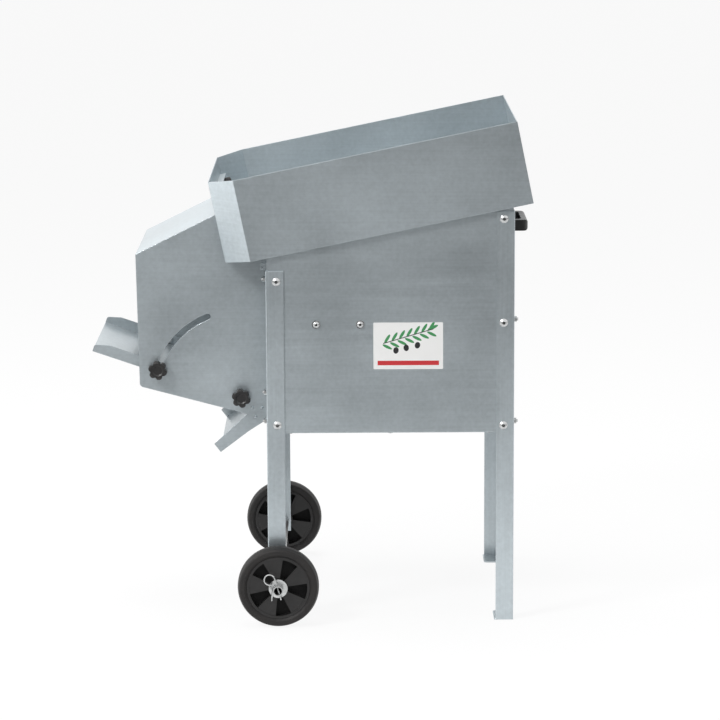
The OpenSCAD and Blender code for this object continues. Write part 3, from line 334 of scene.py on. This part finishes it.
def plate_print():
    """White print with an olive sprig, its fruit and a band, of no maker."""
    f = Finish("plate_print", Coat_Weight=0.3)
    across = f.add("ShaderNodeSeparateXYZ", inputs={0: f.place}, out="X")
    upward = f.add("ShaderNodeSeparateXYZ", inputs={0: f.place}, out="Z")
    u = across - (PLATE_LEFT + PLATE_WIDE / 2)
    v = upward - (PLATE_LOW + PLATE_TALL / 2)

    def oval(x, y, long, short, turn):
        a = math.radians(turn)
        along = ((u - x) * math.cos(a) + (v - y) * math.sin(a)) / long
        beside = ((v - y) * math.cos(a) - (u - x) * math.sin(a)) / short
        return along * along + beside * beside < 1.0

    leaves = oval(0.048, 0.036, 0.011, 0.003, 25)
    for step in range(7):
        x = -0.045 + 0.0145 * step
        y = 0.006 + 0.0042 * step
        for side in (-1, 1):
            leaves = leaves | oval(x + 0.004, y + side * 0.008, 0.010, 0.0028, 16 + side * 42)
    stem = (abs(v - 0.006 - (u + 0.045) * 0.29) < 0.0009) * (abs(u) < 0.049)
    fruit = oval(-0.024, -0.009, 0.0065, 0.0052, 80) | oval(-0.004, -0.004, 0.0065, 0.0052, 95)
    fruit = fruit | oval(0.018, 0.001, 0.0065, 0.0052, 75)
    band = (abs(v + 0.034) < 0.0045) * (abs(u) < 0.06)
    color = f.blend(leaves, PRINT_WHITE, PRINT_GREEN)
    color = f.blend(stem, color, PRINT_BLACK)
    color = f.blend(fruit, color, PRINT_BLACK)
    f.set("Base Color", f.blend(band, color, PRINT_RED))
    f.set("Roughness", (f.noise(60.0) - 0.5) * 0.1 + 0.3)
    return f.material


def add_piece(name, mesh, body, material):
    piece = bpy.data.objects.new(name, mesh)
    bpy.context.scene.collection.objects.link(piece)
    mesh.materials.append(material)
    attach(piece, body)
    return piece


def add_camera():
    """A long lens, a little above the machine and square to its side."""
    pitch, yaw, roll = 0.18596, 0.00329, 0.00471
    place = Vector((0.0771, -6.0134, 1.6092))
    level = Vector((math.sin(yaw), math.cos(yaw), 0))
    ahead = level * math.cos(pitch) - Vector((0, 0, math.sin(pitch)))
    right = Vector((math.cos(yaw), -math.sin(yaw), 0))
    down = ahead.cross(right)
    side = right * math.cos(roll) + down * math.sin(roll)
    up = right * math.sin(roll) - down * math.cos(roll)
    data = bpy.data.cameras.new("camera")
    data.sensor_width = 36.0
    data.lens = 150.0
    camera = bpy.data.objects.new("camera", data)
    bpy.context.scene.collection.objects.link(camera)
    turn = Matrix((side, up, -ahead)).transposed()
    camera.matrix_world = Matrix.Translation(place) @ turn.to_4x4()
    bpy.context.scene.camera = camera


LAMP_AIM = Vector((0, 0, 0.5))


def add_lamp(name, place, size, power, mirrored=True):
    """A square soft lamp that faces the middle of the machine."""
    data = bpy.data.lights.new(name, "AREA")
    data.size = size
    data.energy = power
    lamp = bpy.data.objects.new(name, data)
    lamp.location = place
    lamp.visible_glossy = mirrored
    lamp.rotation_euler = (LAMP_AIM - Vector(place)).to_track_quat("-Z", "Y").to_euler()
    bpy.context.scene.collection.objects.link(lamp)


def add_floor():
    """White floor with the machine's soft shadow, which metal sees fade towards the front."""
    reach = 30.0
    mesh = bpy.data.meshes.new("floor")
    corners = [(-reach, -reach, 0), (reach, -reach, 0), (reach, reach, 0), (-reach, reach, 0)]
    mesh.from_pydata(corners, [], [(0, 1, 2, 3)])
    floor = bpy.data.objects.new("floor", mesh)
    bpy.context.scene.collection.objects.link(floor)
    f = Finish("floor_paper", Roughness=0.8)
    f.set("Base Color", (0.85, 0.85, 0.85))
    seen = f.add("ShaderNodeLightPath", out="Is Camera Ray")
    mirrored = f.add("ShaderNodeLightPath", out="Is Glossy Ray")
    depth = f.add("ShaderNodeSeparateXYZ", inputs={0: f.place}, out="Y")
    near = ((depth + 2.8) / 2.0 | 0.0) & 1.0
    sheen = near * near * FLOOR_NEAR + FLOOR_FAR & FLOOR_MOST
    glow = f.add("ShaderNodeEmission", inputs={"Color": (1, 1, 1), "Strength": seen + mirrored * sheen})
    surface = Wire(f, f.shader.outputs[0])
    mixed = f.add("ShaderNodeMixShader", inputs={0: seen * 0.9 | mirrored, 1: surface, 2: glow})
    f.feed(f.tree.nodes["Material Output"].inputs["Surface"], mixed)
    mesh.materials.append(f.material)


def add_world():
    """White to the camera; metal mirrors it darker in front, bright behind and above."""
    world = bpy.data.worlds.new("studio")
    bpy.context.scene.world = world
    world.use_nodes = True
    n = Nodes(world.node_tree)
    seen = n.add("ShaderNodeLightPath", out="Is Camera Ray")
    mirrored = n.add("ShaderNodeLightPath", out="Is Glossy Ray")
    through = n.add("ShaderNodeLightPath", out="Is Transmission Ray")
    way = n.add("ShaderNodeTexCoord", out="Generated")
    height = n.add("ShaderNodeSeparateXYZ", inputs={0: way}, out="Z")
    depth = n.add("ShaderNodeSeparateXYZ", inputs={0: way}, out="Y")
    behind = (depth * 1.5 + 0.6 | 0.0) & 1.0
    above = (height * 3.5 | 0.0) & 1.0
    sky = behind * BACK_AIR + above * (1 - behind) * HIGH_AIR + FRONT_AIR
    back = n.tree.nodes["Background"]
    back.inputs["Color"].default_value = (1, 1, 1, 1)
    n.feed(back.inputs["Strength"], mirrored * sky + (1 - mirrored) * WORLD_LIGHT | seen | through)


dress_nodes()
plate = plate_mesh(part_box("side_panel_near")[0][1])
add_piece("panel_plate", plate, "machine", plate_print())
add_camera()
add_floor()
add_world()
add_lamp("key_lamp", (-2.4, -2.2, 3.2), 0.9, 105)
add_lamp("top_lamp", (-0.3, 0.4, 3.6), 2.4, 110, False)
add_lamp("side_lamp", (-3.6, 0.6, 0.9), 1.6, 20)
bpy.context.scene.view_settings.view_transform = "Standard"
